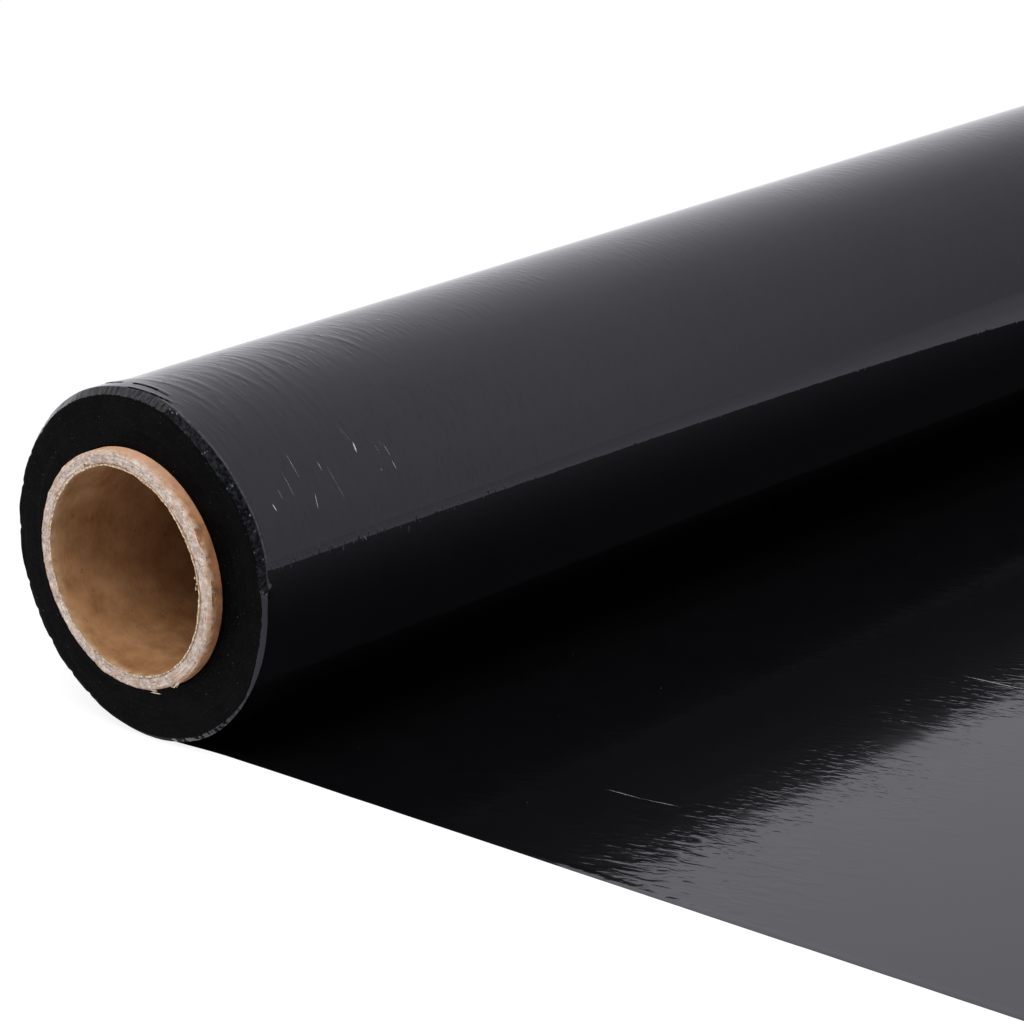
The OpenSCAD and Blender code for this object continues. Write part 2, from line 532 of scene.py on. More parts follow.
WOUND_FILM = wound_film_material()
FLAT_FILM = flat_film_material()
PAINTED_HIGHLIGHT_FILM = painted_highlight_material()
EDGES = edge_material()
RIM = rim_material()
CRUSHED = crushed_material()
CREASE = crease_material()
DUST = dust_material()
KRAFT_IN = inner_kraft_material()
KRAFT_OUT = outer_kraft_material()
CUT_PAPER = cut_paper_material("cut_paper", colour(196, 168, 138), colour(246, 232, 212))
WORN_LIP = cut_paper_material("worn_lip", colour(160, 130, 104), colour(242, 226, 202))
BOARD = board_material()


# The wound film

# Angles of the notches in the rim's outline
NOTCHES = (30, 18, 2, 343, 333, 322, 309, 299, 41)
# The near rim is pressed more here and less there: angle, height, width and edge radius, in mm
RIM_BY_ANGLE = (
    (0, 1.7, 2.6, 0.5), (60, 1.7, 2.2, 0.5), (70, 1.8, 1.3, 0.5), (80, 1.75, 1.3, 0.5),
    (90, 1.7, 1.8, 0.5), (100, 1.5, 2.2, 0.5), (108, 1.35, 1.6, 0.5), (115, 1.9, 0.95, 0.5),
    (125, 2.3, 0.95, 0.5), (135, 2.3, 1.25, 0.5), (145, 1.7, 1.5, 0.5), (155, 1.3, 2.0, 0.5),
    (165, 1.35, 1.8, 0.6), (172, 1.3, 1.2, 0.7), (181, 1.15, 0.65, 0.8), (190, 1.2, 0.55, 0.8),
    (200, 1.3, 0.5, 0.6), (208, 0.8, 0.3, 0.4), (215, 0.45, 0.15, 0.3), (222, 0.6, 0.12, 0.3),
    (230, 0.9, 0.15, 0.3), (255, 1.3, 1.4, 0.5),
)
RIM_ANGLES, RIM_HEIGHTS, RIM_WIDTHS, RIM_ROUNDS = zip(*RIM_BY_ANGLE)
# Distance from an end face at which the outside runs straight again
SHOULDER = 5.4 * MM
# Points round the roll: by the near rim, next to that, and elsewhere
FINE, MEDIUM, COARSE = 960, 480, 240


def rim_sizes(angle, side):
    """Height, width and edge radius of the slanted rim by angle, at the near end (side -1) or the far one."""
    if side > 0:
        return RIM_H + 0 * angle, RIM_W + 0 * angle, RIM_ROUND + 0 * angle
    tables = (RIM_HEIGHTS, RIM_WIDTHS, RIM_ROUNDS)
    return tuple(np.interp(angle % 360, RIM_ANGLES, table, period=360) * MM for table in tables)


def rim_profile(share, height, width, edge):
    """The slanted rim's outline at a share of the way from the end face (0) to the outside (1).

    Gives the distance in from the outside, the distance from the face, and the direction that the
    surface faces, from 0 along the axis to a right angle straight out.
    """
    slant = np.arctan2(width, height)
    face_round = edge * np.tan(slant / 2)
    side_round = edge * np.tan((np.pi / 2 - slant) / 2)
    turn = slant * min(share / 0.2, 1) + (np.pi / 2 - slant) * max((share - 0.8) / 0.2, 0)
    flat = min(max((share - 0.2) / 0.6, 0), 1)
    drop = (height + face_round - edge * np.sin(turn)) * (1 - flat)
    drop = drop + edge * (1 - np.sin(turn)) * flat
    along = edge * (1 - np.cos(turn)) * (1 - flat)
    along = along + (width + side_round - edge * np.cos(turn)) * flat
    return drop, along, turn


def rim_relief(angle, along, share):
    """How far the rim stands out of its slanted form, at a share from 0 at the face to 1 outside."""
    arc = np.radians(angle % 360) * FILM_R / MM
    laps = round(2 * math.pi * FILM_R / MM)
    top = sector(angle, 25, 112, 12)
    crumpled = sector(angle, 106, 178, 6)
    low = sector(angle, 255, 385, 12)
    middle = math.sin(math.pi * share)
    ticks = ridges(arc / 1.1, along / MM / 3, 11, round(laps / 1.1)) * 0.07
    ticks = ticks + smooth_noise(arc / 3.1, along / MM / 1.5, 15, round(laps / 3.1)) * 0.06
    crumple = smooth_noise(arc / 1.1, along / MM / 0.6, 12, round(laps / 1.1)) * 0.14
    crumple = crumple + smooth_noise(arc / 0.6, along / MM / 0.4, 13, round(laps / 0.6)) * 0.08
    nicks = smooth_noise(arc / 2.3, along / MM / 4, 14, round(laps / 2.3)) * 0.05
    return (middle * (top * ticks + crumpled * crumple) + (0.3 + 0.7 * middle) * low * nicks) * MM


def outline_dents(angle):
    """Flat stretches and small nicks round the rim, which show in its outline."""
    dents = np.zeros_like(angle)
    for place in NOTCHES:
        away = np.abs((angle - place + 180) % 360 - 180)
        dents = dents + 0.34 * bell(away, 0, 1.1) + 0.16 * bell(away, 3, 2.5)
    return dents * MM


# Distance from the near end face within which the roll is wrinkled, in mm
WRINKLED = 75
# Wrinkles that stand out by the near end: distance from its face and angle of the first end, then of the
# second, the width and the height, in mm and degrees
LONG_WRINKLES = (
    (9.3, 84, 11.2, 111, 0.8, 0.15), (15.2, 86, 16.2, 108, 0.75, 0.15), (19.7, 92, 20.0, 107, 0.6, 0.07),
    (20.4, 86, 21.2, 94, 0.5, 0.05), (22.9, 91, 21.7, 107, 0.6, 0.07), (25.7, 86, 27.0, 111, 0.65, 0.06),
    (31.6, 88, 31.2, 114, 0.6, 0.09), (33.7, 81, 33.5, 105, 0.5, 0.085), (35.8, 83, 36.0, 111, 0.6, 0.12),
    (37.6, 82, 36.9, 108, 0.5, 0.08), (40.0, 91, 42.9, 112, 0.6, 0.075), (43.5, 82, 46.6, 108, 0.6, 0.065),
    (52.0, 88, 53.0, 104, 0.6, 0.05), (56.0, 88, 58.5, 106, 0.6, 0.055), (59.4, 88, 64.0, 110, 0.7, 0.07),
    (8.4, 107, 10.2, 125, 1.0, 0.055), (14.5, 107, 14.2, 130, 1.1, 0.065), (20.7, 111, 20.6, 127, 0.9, 0.04),
    (36.9, 115, 36.7, 127, 0.6, 0.03), (40.1, 121, 39.6, 131, 0.5, 0.03), (12.4, 84, 13.2, 98, 0.6, 0.06),
    (28.8, 84, 29.4, 97, 0.5, 0.06), (48.4, 85, 49.8, 100, 0.5, 0.06), (67.0, 88, 68.6, 104, 0.55, 0.055),
)


def drawn_wrinkles():
    """Wrinkles by the near end: distance, angle, half length in degrees, width, height and slant, in mm."""
    rows = []
    for first, first_angle, second, second_angle, width, height in LONG_WRINKLES:
        length = second_angle - first_angle
        middle = (first_angle + second_angle) / 2
        rows.append(((first + second) / 2, middle, 0.55 * length, width, height, (second - first) / length))
    rng = np.random.default_rng(23)
    for _ in range(60):
        distance = 4 + 70 * rng.uniform()
        middle = rng.uniform(80, 104) + rng.uniform(0, 16) * rng.uniform()
        width = rng.uniform(0.36, 0.65)
        height = width * (0.02 + 0.11 * rng.uniform() ** 2)
        rows.append((distance, middle, rng.uniform(3, 8), width, height, rng.normal(0, 0.09)))
    return rows


WRINKLES = drawn_wrinkles()


def lap_wrinkles(angle, along, near_end):
    """Raised lines that run round the roll: many by the near end, and a faint slow wander all along."""
    arc = np.radians(angle % 360) * FILM_R / MM
    d = along / MM
    slow = smooth_noise(arc / 90, d / 9, 24, 3)
    lift = (0.010 + 0.02 * np.exp(-d / 120)) * slow
    lift = lift - (0.28 + 0.25 * np.exp(-d / 70)) * sector(angle, 42, 72, 34) * fade(d, 5, 16)
    if near_end and d[0] < WRINKLED:
        wander = 0.25 * smooth_noise(arc / 9, d / 12, 21, 30)
        for distance, middle, half, width, height, slant in WRINKLES:
            line = distance + slant * (angle - middle) + wander
            lift = lift + height * bell(d, line, width) * bell(angle, middle, half)
    return lift * MM


def rim_slits(angle, along, width, away=0.0):
    """1 in the middle of the two narrow slits by the top of the near rim, where the film folds on itself.

    With a distance away in mm, 1 that far past each slit.
    """
    d = along / MM - away
    outer = np.interp(angle, (70, 76, 83, 90, 100), (6.1, 5.3, 5.0, 5.2, 4.95))
    inner = np.interp(angle, (80, 90, 100, 106), (1.4, 1.95, 2.5, 3.0))
    slit_a = bell(d, outer, width) * (sector(angle, 72, 80, 2.0) + sector(angle, 87, 100.5, 3.0))
    slit_b = bell(d, inner, width) * sector(angle, 89, 105, 3.0)
    return np.maximum(slit_a, slit_b)


def rim_folds(angle, along):
    """The slits with a ridge past each, a bead along the rim, and a nub on its side."""
    d = along / MM
    crease = np.interp(angle % 360, RIM_ANGLES, RIM_WIDTHS, period=360)
    beads = 0.7 + 0.6 * smooth_noise(angle / 2.1, 0.5, 34)
    bead = bell(d, crease + 0.45, 0.38) * sector(angle, 103, 174, 4) * beads
    slits = 0.15 * rim_slits(angle, along, 0.42, 0.40) - 0.20 * rim_slits(angle, along, 0.22)
    nub = bell(d, 0.9, 1.2) * bell(angle, 176, 2.2)
    lumps = 1 + 0.9 * smooth_noise(angle / 1.2, d / 0.8, 31)
    return (slits + 0.10 * bead + 0.45 * nub * lumps) * MM


# The five surfaces of the wound film, by material slot
OUTSIDE, BARE, BAND, CRUMPLED, PAINTED_HIGHLIGHT = range(5)


def rim_surface(angle, along, share, near):
    """The surface that shows by an end, where a share below 0 is the end face and one above 1 the outside.

    The broken stretch and the folded film are found at the near end alone.
    """
    ragged = 0.08 * smooth_noise(angle / 1.6, share * 4, 35) + 0.06 * smooth_noise(angle / 0.6, share * 9, 36)
    on_rim = (share >= 0) & (share < 0.96)
    crushed = sector(angle, 109, 175, 3) + 0.5 * smooth_noise(angle / 1.2, share * 5, 37) > 0.5
    broken = (smooth_noise(angle / 1.3, share * 2, 38) > 0.05) & (sector(angle, 229, 262, 1) > 0.5) & near
    low = sector(angle, 260, 386, 3) + 0.3 * smooth_noise(angle / 1.5, share * 2, 39) > 0.5
    surface = np.full(len(angle), OUTSIDE)
    surface[on_rim & (sector(angle, 177.5, 212, 0.5) < 0.5)] = BAND
    surface[on_rim & crushed] = CRUMPLED
    surface[on_rim & (share < 0.12 + ragged)] = BARE
    surface[on_rim & (low | broken)] = BARE
    # Painted highlight: the pale strip by the crease along the rim's outer edge.
    by_crease = near & (share > 1) & (share < 1.14) & (sector(angle, 102, 168, 1) > 0.5)
    surface[by_crease & (smooth_noise(angle / 1.4, 0.5, 40) > -0.45)] = PAINTED_HIGHLIGHT
    surface[(share < 0) | (near & (rim_slits(angle, along, 0.24) > 0.40))] = BARE
    return surface


def face_relief(radius, angle, seed):
    """How far turns stand out of an end face: fine lines, and a slow wander of the winding."""
    r = radius / MM
    fine = smooth_noise(angle / 30, r / 0.42, seed, 12) * 0.06
    slow = smooth_noise(angle / 60, r / 2.4, seed + 1, 6) * 0.10
    return (fine + slow) * MM


def face_ring(outward, side, count, seed):
    """One ring on an end face, at a share of the way from the core to the rim."""
    angle = np.arange(count) * 360 / count
    face_end = FILM_R - rim_profile(0, *rim_sizes(angle, side))[0]
    radius = WRAP_R + (face_end - WRAP_R) * outward
    share = fade(radius, face_end, face_end - 1.2 * MM) * fade(radius, WRAP_R, WRAP_R + 0.5 * MM)
    return around(radius, side * (FILM_HALF + face_relief(radius, angle, seed) * share), angle)


def uneven_ring(angle, drop, along, turn, share, side):
    """A ring with all that makes the film uneven, moved the way that the surface faces."""
    near = side < 0
    lift = rim_relief(angle if near else angle + 140, along, share)
    lift = lift - outline_dents(angle if near else 180 - angle) * fade(along, 7 * MM, 1 * MM)
    if near:
        lift = lift + rim_folds(angle, along)
    lift = lift + lap_wrinkles(angle, along, near) * fade(along, 1.5 * MM, 3.5 * MM)
    radius = FILM_R - drop + lift * np.sin(turn)
    return around(radius, side * (FILM_HALF - along + lift * np.cos(turn)), angle)


def rim_ring(share, side, count):
    """One ring over the rim, at a share of 0 at the face to 1 at the outside, and on to the shoulder at 2."""
    angle = np.arange(count) * 360 / count
    across = min(share, 1)
    drop, along, turn = rim_profile(across, *rim_sizes(angle, side))
    along = along + (SHOULDER - along) * (share - across)
    return uneven_ring(angle, drop, along, turn, across, side)


def end_rings(count, face_rows, shares, side, seed):
    """Rings from the core over an end face and its rim to the shoulder, with each one's share of the rim."""
    outwards = np.linspace(0, 1, face_rows, endpoint=False)
    rings = [face_ring(outward, side, count, seed) for outward in outwards]
    rings += [rim_ring(share, side, count) for share in shares]
    return rings, [-1.0] * face_rows + list(shares)


def outside(start, end, step, count):
    """Rings along the outside of the wound film, between two distances from the near end face."""
    angle = np.arange(count) * 360 / count
    rows = max(1, round((end - start) / step))
    places = [start + (end - start) * (i + 1) / rows for i in range(rows)]
    return [uneven_ring(angle, 0 * angle, place + 0 * angle, math.pi / 2, 1, -1) for place in places]


def wound_film():
    """The wound turns, as one closed skin. Rings are close together where the near end shows most."""
    length = 2 * FILM_HALF
    rounded = (0, 0.07, 0.14, 0.2)
    near_shares = (*rounded, *np.linspace(0.27, 0.8, 8), 0.87, 0.93, 1, 1.07, *np.linspace(1.14, 2, 10))
    far_shares = (*rounded, 0.4, 0.6, 0.8, 0.9, 1, 1.5, 2)
    near, near_marks = end_rings(FINE, 18, near_shares, -1, 41)
    near = [ring[::2] if mark < 0 else ring for ring, mark in zip(near, near_marks)]
    far, far_marks = end_rings(COARSE, 12, far_shares, 1, 43)
    middle = outside(SHOULDER, 7.6 * MM, 0.36 * MM, FINE)
    middle += outside(7.6 * MM, 8 * MM, 0.4 * MM, MEDIUM)
    middle += outside(8 * MM, 72 * MM, 0.4 * MM, COARSE)
    middle += outside(72 * MM, length - SHOULDER - 4 * MM, 8 * MM, COARSE)
    skin = near + middle + far[::-1]
    marks = np.array(near_marks + [3.0] * len(middle) + far_marks[::-1])
    for ring in skin:
        ring[:, 2] = np.maximum(ring[:, 2], FLOOR_Z)
    vertices, faces, owner = loft(skin, closed=True)
    owner = np.array(owner)
    share = (marks[owner] + marks[(owner + 1) % len(skin)]) / 2
    middles = np.array([vertices[list(face)].mean(axis=0) for face in faces])
    angle = np.degrees(np.arctan2(middles[:, 2], middles[:, 1])) % 360
    along = FILM_HALF - np.abs(middles[:, 0])
    near_end = middles[:, 0] < 0
    surface = rim_surface(np.where(near_end, angle, (angle + 150) % 360), along, share, near_end)
    surface[np.minimum(marks[owner], marks[(owner + 1) % len(skin)]) < 0] = BARE
    slots = [WOUND_FILM, EDGES, RIM, CRUSHED, PAINTED_HIGHLIGHT_FILM]
    obj = make_object("film_turns", vertices, faces, slots, surface)
    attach(obj, "root")
    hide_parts("stretch_film")


# The pulled-out film

def web_height(x, y):
    """Height of the pulled-out film above the surface: long shallow waves, curled edges, a loose end."""
    u, v = x / MM, -y / MM
    calm = fade(v, 4, 40)
    lobes = 0.5 + 0.5 * smooth_noise(u / 34 + 200, v / 55, 51)
    waves = 0.5 + 0.5 * smooth_noise(u / 13 + 200, v / 42, 52)
    from_edge = FILM_HALF / MM - NECK_IN / MM - np.abs(u)
    side = np.where(u < 0, 0.0, 300.0)
    scallop = 0.5 + 0.5 * smooth_noise((v + side) / 2.6, 0.5, 53, 127)
    lift = np.where(u < 0, 0.05 + 0.12 * bell(v, 131, 13), 0.10 + 0.20 * scallop ** 2)
    curl = bell(from_edge, 1.3, 1.0) * scallop * lift
    from_end = WEB_LENGTH / MM - v
    loose = np.exp(-from_end / 9) * (0.7 + 0.9 * smooth_noise(u / 28 + 200, 0.5, 54))
    return ((0.05 * lobes + 0.012 * waves + curl) * calm + np.maximum(loose, 0)) * MM


def pulled_out_film():
    """The film that leaves the roll at its lowest line and lies flat: a closed thin sheet.

    Its columns are close together by the side edges, and its rows by the roll and the loose end.
    """
    by_edge = np.arange(12) * 0.4 * MM / (FILM_HALF - NECK_IN)
    between = np.linspace(by_edge[-1] - 1, 1 - by_edge[-1], 172)[1:-1]
    across = np.concatenate([by_edge - 1, between, (1 - by_edge)[::-1]])
    by_roll = np.arange(3 * MM, -290 * MM, -1.9 * MM)
    onward = np.arange(by_roll[-1] - 5 * MM, 40 * MM - WEB_LENGTH, -7 * MM)
    loose_end = np.linspace(onward[-1], -WEB_LENGTH, 20)[1:]
    down = np.concatenate([by_roll, onward, loose_end])
    columns, rows = len(across), len(down)
    y = down[:, None] + 0 * across[None, :]
    half = FILM_HALF - NECK_IN + (NECK_IN - RIM_W) * fade(-y, NECK_L, 0)
    wobble = 0.12 * MM * smooth_noise(-y / MM / 9 + 40 * (across > 0), 0.5, 55)
    x = across * (half + wobble * np.abs(across) ** 8)
    ragged = 0.25 * MM * smooth_noise(x / MM / 7 + 200, 0.5, 56)
    y = y + ragged * fade(-y, WEB_LENGTH - 6 * MM, WEB_LENGTH)
    low = FLOOR_Z + web_height(x, y)
    top = np.stack([x, y, low + WEB_T], axis=-1).reshape(-1, 3)
    bottom = np.stack([x, y, low], axis=-1).reshape(-1, 3)
    count = rows * columns
    faces = grid_faces(rows, columns, flip=True) + grid_faces(rows, columns, count)
    rim = (
        [(i, 0) for i in range(rows)]
        + [(rows - 1, j) for j in range(1, columns)]
        + [(i, columns - 1) for i in range(rows - 2, -1, -1)]
        + [(0, j) for j in range(columns - 2, 0, -1)]
    )
    loop = [i * columns + j for i, j in rim]
    for a, b in zip(loop, loop[1:] + loop[:1]):
        faces.append((a, b, count + b, count + a))
    obj = make_object("film_web", np.concatenate([top, bottom]), faces, [FLAT_FILM], crisp=True)
    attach(obj, "root")
    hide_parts("stretch_film")
    return obj


# Marks on the film

def slivers(name, places, material):
    """Small raised spindles. Each place is (middle, along, up, length, width, height)."""
    vertices, faces = [], []
    for middle, along, up, length, width, height in places:
        middle, along, up = Vector(middle), Vector(along).normalized(), Vector(up).normalized()
        side = up.cross(along)
        base = len(vertices)
        for a, s in ((-0.5, 0), (-0.2, 0.5), (0.2, 0.5), (0.5, 0), (0.2, -0.5), (-0.2, -0.5)):
            vertices.append(middle + along * (a * length) + side * (s * width) - up * (0.3 * height))
        vertices.append(middle - along * (0.15 * length) + up * height)
        vertices.append(middle + along * (0.15 * length) + up * height)
        left, right = base + 6, base + 7
        faces.append(tuple(base + k for k in range(6)))
        faces += [(base, left, base + 1), (base + 1, left, right, base + 2), (base + 2, right, base + 3)]
        faces += [(base + 3, right, base + 4), (base + 4, right, left, base + 5), (base + 5, left, base)]
    obj = make_object(name, vertices, faces, [material], smooth=False)
    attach(obj, "root")


def on_roll(distance, angle):
    """A point on the outside of the roll, with the direction outward."""
    a = math.radians(angle)
    out = Vector((0, math.cos(a), math.sin(a)))
    return Vector((distance - FILM_HALF, 0, 0)) + out * FILM_R, out


# Short creases that catch the light, drawn pale as a painted highlight: distance from the near face and angle
# of the first end, then of the second, and the width, in mm and degrees
CREASES = (
    (39.7, 140.9, 39.2, 144.8, 0.78), (26.8, 142.8, 26.9, 147.0, 0.22), (48.0, 145.1, 48.6, 149.5, 0.12),
    (48.3, 150.1, 48.7, 153.9, 0.20), (22.1, 152.3, 21.4, 157.6, 0.13), (8.9, 151.2, 9.4, 153.9, 0.22),
    (19.3, 137.1, 19.6, 147.1, 0.03), (15.4, 142.8, 16.0, 151.8, 0.025), (33.2, 169.8, 34.0, 171.7, 0.18),
    (45.2, 143.0, 45.8, 147.5, 0.05), (28.6, 145.2, 30.2, 157.4, 0.02), (37.8, 133.9, 39.5, 141.0, 0.02),
    (47.1, 142.8, 47.4, 145.3, 0.04), (12.1, 147.6, 12.4, 151.0, 0.03), (44.0, 150.8, 44.3, 153.2, 0.03),
)
# Scratches on the pulled-out film: distance from the near end face, y, direction, length and width, in mm
SCRATCHES = (
    (44.0, -112.0, (0.070, -1, 0), 10.8, 0.055), (45.3, -122.2, (0.180, -1, 0), 10.8, 0.040),
    (153.5, -135, (0.08, -1, 0), 17, 0.2),
)


def film_creases():
    """Creases on the roll and scratches on the pulled-out film."""
    places = []
    for first, first_angle, second, second_angle, width in CREASES:
        a, _ = on_roll(first * MM, first_angle)
        b, _ = on_roll(second * MM, second_angle)
        middle, out = on_roll((first + second) / 2 * MM, (first_angle + second_angle) / 2)
        places.append((middle, b - a, out, (b - a).length, width * MM, 0.04 * MM))
    for x, y, along, length, width in SCRATCHES:
        middle = Vector((x * MM - FILM_HALF, y * MM, FLOOR_Z + WEB_T + 0.06 * MM))
        places.append((middle, along, (0, 0, 1), length * MM, width * MM, 0.03 * MM))
    slivers("film_creases", places, CREASE)


def dust_bits():
    """Fine paper dust on the near end face, the rim and here and there on the film."""
    rng = np.random.default_rng(61)
    places = []
    for _ in range(210):
        radius = rng.uniform(WRAP_R + 0.6 * MM, FILM_R - 1.0 * MM)
        angle = math.radians(rng.uniform(0, 360))
        size = (0.05 + 0.11 * rng.uniform() ** 3) * MM
        middle = Vector((-FILM_HALF - 0.08 * MM, radius * math.cos(angle), radius * math.sin(angle)))
        along = Vector((0, rng.uniform(-1, 1), rng.uniform(-1, 1)))
        places.append((middle, along, (-1, 0, 0), size * 1.8, size, size * 0.6))
    for _ in range(170):
        middle = Vector((
            rng.uniform(-FILM_HALF + 6 * MM, FILM_HALF - 6 * MM),
            -rng.uniform(20 * MM, WEB_LENGTH - 5 * MM),
            FLOOR_Z + WEB_T + 0.06 * MM,
        ))
        size = rng.uniform(0.07, 0.17) * MM
        along = Vector((rng.uniform(-1, 1), rng.uniform(-1, 1), 0))
        places.append((middle, along, (0, 0, 1), size * 1.6, size, size * 0.6))
    slivers("paper_dust", places, DUST)


# The core

# Radius of the worn outer edge of the core's ends
END_ROUND = 1.0 * MM
# Size of noise cells that run the whole length of the core, in mm
ALL_ALONG = 1000


def out_of_round(angle, x):
    """Change of the core's radius where its mouths are pressed a little oval."""
    near = np.exp(-(CORE_HALF - np.abs(x)) / (45 * MM))
    return 0.22 * MM * near * np.cos(2 * np.radians(angle - 35))


def paper_angles(x, seam, start, columns):
    """Angles across a ply from one side of its helical seam round to the other, at places along the core."""
    gap = math.degrees(seam / PLY_PITCH * 2 * math.pi)
    share = np.linspace(0, 1, columns)[None, :]
    return start + 360 * (x + CORE_HALF) / PLY_PITCH + gap / 2 + share * (360 - gap), share


def ply(name, skins, materials, node):
    """A paper ply from its two skins of points, joined at both ends and along the seam."""
    rows, columns = skins[0].shape[:2]
    count = rows * columns
    faces = grid_faces(rows, columns) + grid_faces(rows, columns, count, flip=True)
    skin_faces = len(faces)
    edges = []
    for i in range(rows - 1):
        edges += [(i * columns + j, (i + 1) * columns + j, j == 0) for j in (0, columns - 1)]
    for j in range(columns - 1):
        edges += [(i * columns + j, i * columns + j + 1, i > 0) for i in (0, rows - 1)]
    for a, b, flip in edges:
        quad = (a, b, count + b, count + a)
        faces.append(quad if flip else quad[::-1])
    is_cut = np.arange(len(faces)) >= skin_faces
    points = np.concatenate([s.reshape(-1, 3) for s in skins])
    obj = make_object(name, points, faces, materials, is_cut, crisp=True)
    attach(obj, "root")
    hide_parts(node)


def ply_rows(reach, coarse):
    """Places along a ply that ends at reach, close together by both ends."""
    end = [reach - d for d in np.arange(0, 8 * MM, 0.5 * MM)]
    middle = np.linspace(-(reach - 8 * MM), reach - 8 * MM, coarse)
    return np.array(sorted([-e for e in end] + list(middle) + end))[:, None]


def round_noise(angle, radius, x, size, along, seed):
    """Noise on the core with cells of a size round it and another along it, in millimetres."""
    laps = max(3, round(2 * math.pi * radius / MM / size))
    return smooth_noise(angle % 360 / 360 * laps, x / MM / along, seed, laps)


def liner():
    """The inner ply: a wavy lip at each mouth, and one side of its seam stands a little proud."""
    x = ply_rows(CORE_HALF, 60)
    angle, share = paper_angles(x, LINER_SEAM, LINER_START, 421)
    mouth = fade(CORE_HALF - np.abs(x), 3 * MM, 0)

    def uneven(size, along, seed):
        return round_noise(angle, LINER_R, x, size, along, seed)

    wave = 0.05 * uneven(6, 14, 71)
    lip = (0.13 * uneven(4.5, 3, 73) + 0.07 * uneven(1.4, 3, 74)) * mouth
    proud = 0.28 * fade(share, 0.80, 1.0) * mouth + 0.05 * bell(share, 0, 0.01)
    grow = out_of_round(angle, x) + (wave + lip - proud) * MM
    fray = 0.12 + 0.14 * uneven(0.9, ALL_ALONG, 72) + 0.12 * uneven(5, ALL_ALONG, 75)
    x = x + fray * MM * fade(CORE_HALF - np.abs(x), 0.9 * MM, 0) * np.sign(x)
    skins = [around(BORE_R + grow, x, angle), around(LINER_R + out_of_round(angle, x), x, angle)]
    ply("core_liner_paper", skins, [KRAFT_IN, WORN_LIP], "core_liner")


def wrap():
    """The outer ply: it ends where the worn edge begins, and its corners lift by the seam."""
    reach = CORE_HALF - 0.8 * END_ROUND
    x = ply_rows(reach, 60)
    angle, share = paper_angles(x, WRAP_SEAM, WRAP_START, 421)
    mouth = np.exp(-(reach - np.abs(x)) / (3 * MM))
    lift = (0.55 * bell(share, 1, 0.010) + 0.40 * bell(share, 0, 0.012)) * mouth * MM
    worn = 0
    for depth, size, seed in ((0.42, 7, 77), (0.24, 2.4, 76), (0.12, 0.9, 78)):
        worn = worn + depth * round_noise(angle, WRAP_R, x, size, ALL_ALONG, seed)
    x = x + worn * MM * fade(reach - np.abs(x), 1.6 * MM, 0) * np.sign(x)
    grow = out_of_round(angle, x) + lift
    skins = [around(BOARD_R + 0.02 * MM + grow, x, angle), around(WRAP_R + grow, x, angle)]
    ply("core_wrap_paper", skins, [KRAFT_OUT, CUT_PAPER], "core_wrap")


def board_edge(angle, x):
    """Radius out to which the board's worn end reaches: the outer ply's, or the board's in the ply's gap."""
    seam = WRAP_START + 360 * (x + CORE_HALF) / PLY_PITCH
    gap = math.degrees(WRAP_SEAM / PLY_PITCH * 2 * math.pi)
    open_here = sector(angle, seam % 360 - gap / 2, seam % 360 + gap / 2, 1.5)
    return WRAP_R - 0.03 * MM - 0.3 * (WRAP_R - BOARD_R) * open_here


def board_ring(share, depth, side, rough, count=720):
    """One ring of the board, at a share of the way from the liner to its edge and a depth in its end."""
    angle = np.arange(count) * 360 / count
    x = side * (CORE_HALF - depth)
    radius = LINER_R + (board_edge(angle, x) - LINER_R) * share
    across = share * 6 * MM
    layers = round_noise(angle, BOARD_R, across, 9, 1, 81 + side) * 0.12
    fuzz = round_noise(angle, BOARD_R, across, 0.5, 0.5, 84 + side) * 0.16
    fuzz = fuzz + round_noise(angle, BOARD_R, across, 1.6, 0.8, 87 + side) * 0.10
    groove = 0.30 * math.exp(-share / 0.05)
    sunk = (0.10 + groove + layers + fuzz) * rough * MM
    return around(radius + out_of_round(angle, x), x - side * sunk, angle)


def board_wall():
    """The grey board: rough cut faces with a worn, rounded outer edge."""
    ends = []
    flat = 1 - END_ROUND / (WRAP_R - LINER_R)
    for side in (-1, 1):
        rings = [board_ring(0, 1.5 * MM, side, 0)]
        rings += [board_ring(share, 0, side, 1) for share in np.linspace(0, flat, 13)]
        for turn in np.linspace(15, 90, 6):
            a = math.radians(turn)
            share = flat + (1 - flat) * math.sin(a)
            rings.append(board_ring(share, END_ROUND * (1 - math.cos(a)), side, math.cos(a)))
        rings.append(board_ring(1, END_ROUND + 0.3 * MM, side, 0))
        rings.append(board_ring(0.85, END_ROUND + 0.5 * MM, side, 0))
        ends.append(rings)
    vertices, faces, _ = loft(ends[0] + ends[1][::-1], closed=True)
    obj = make_object("core_board_cut", vertices, faces, [BOARD])
    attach(obj, "root")
    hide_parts("core_board")


# Torn fibres at the near mouth: angle, radius, distance out of the mouth, length and width in mm, and how far
# they lean out of the mouth and away from the axis
FRAYS = (
    (63.4, 26.3, 0.30, 2.0, 0.95, 0.30, 0.10), (66.6, 26.7, 0.22, 1.5, 0.50, 0.15, -0.5),
    (60.4, 26.0, 0.20, 1.3, 0.45, 0.20, 0.3), (171.7, 24.9, 0.05, 1.0, 0.26, 0.2, 0.3),
    (174.8, 25.2, 0.05, 0.8, 0.22, 0.15, -0.3), (177.4, 24.8, 0.05, 1.1, 0.28, 0.25, 0.2),
    (253.3, 29.75, -0.30, 4.0, 0.22, 0.0, -0.20), (237.2, 29.5, -0.60, 2.2, 0.26, 0.0, 0.42),
    (120.0, 25.5, 0.05, 0.7, 0.14, 0.1, 0.0),
)


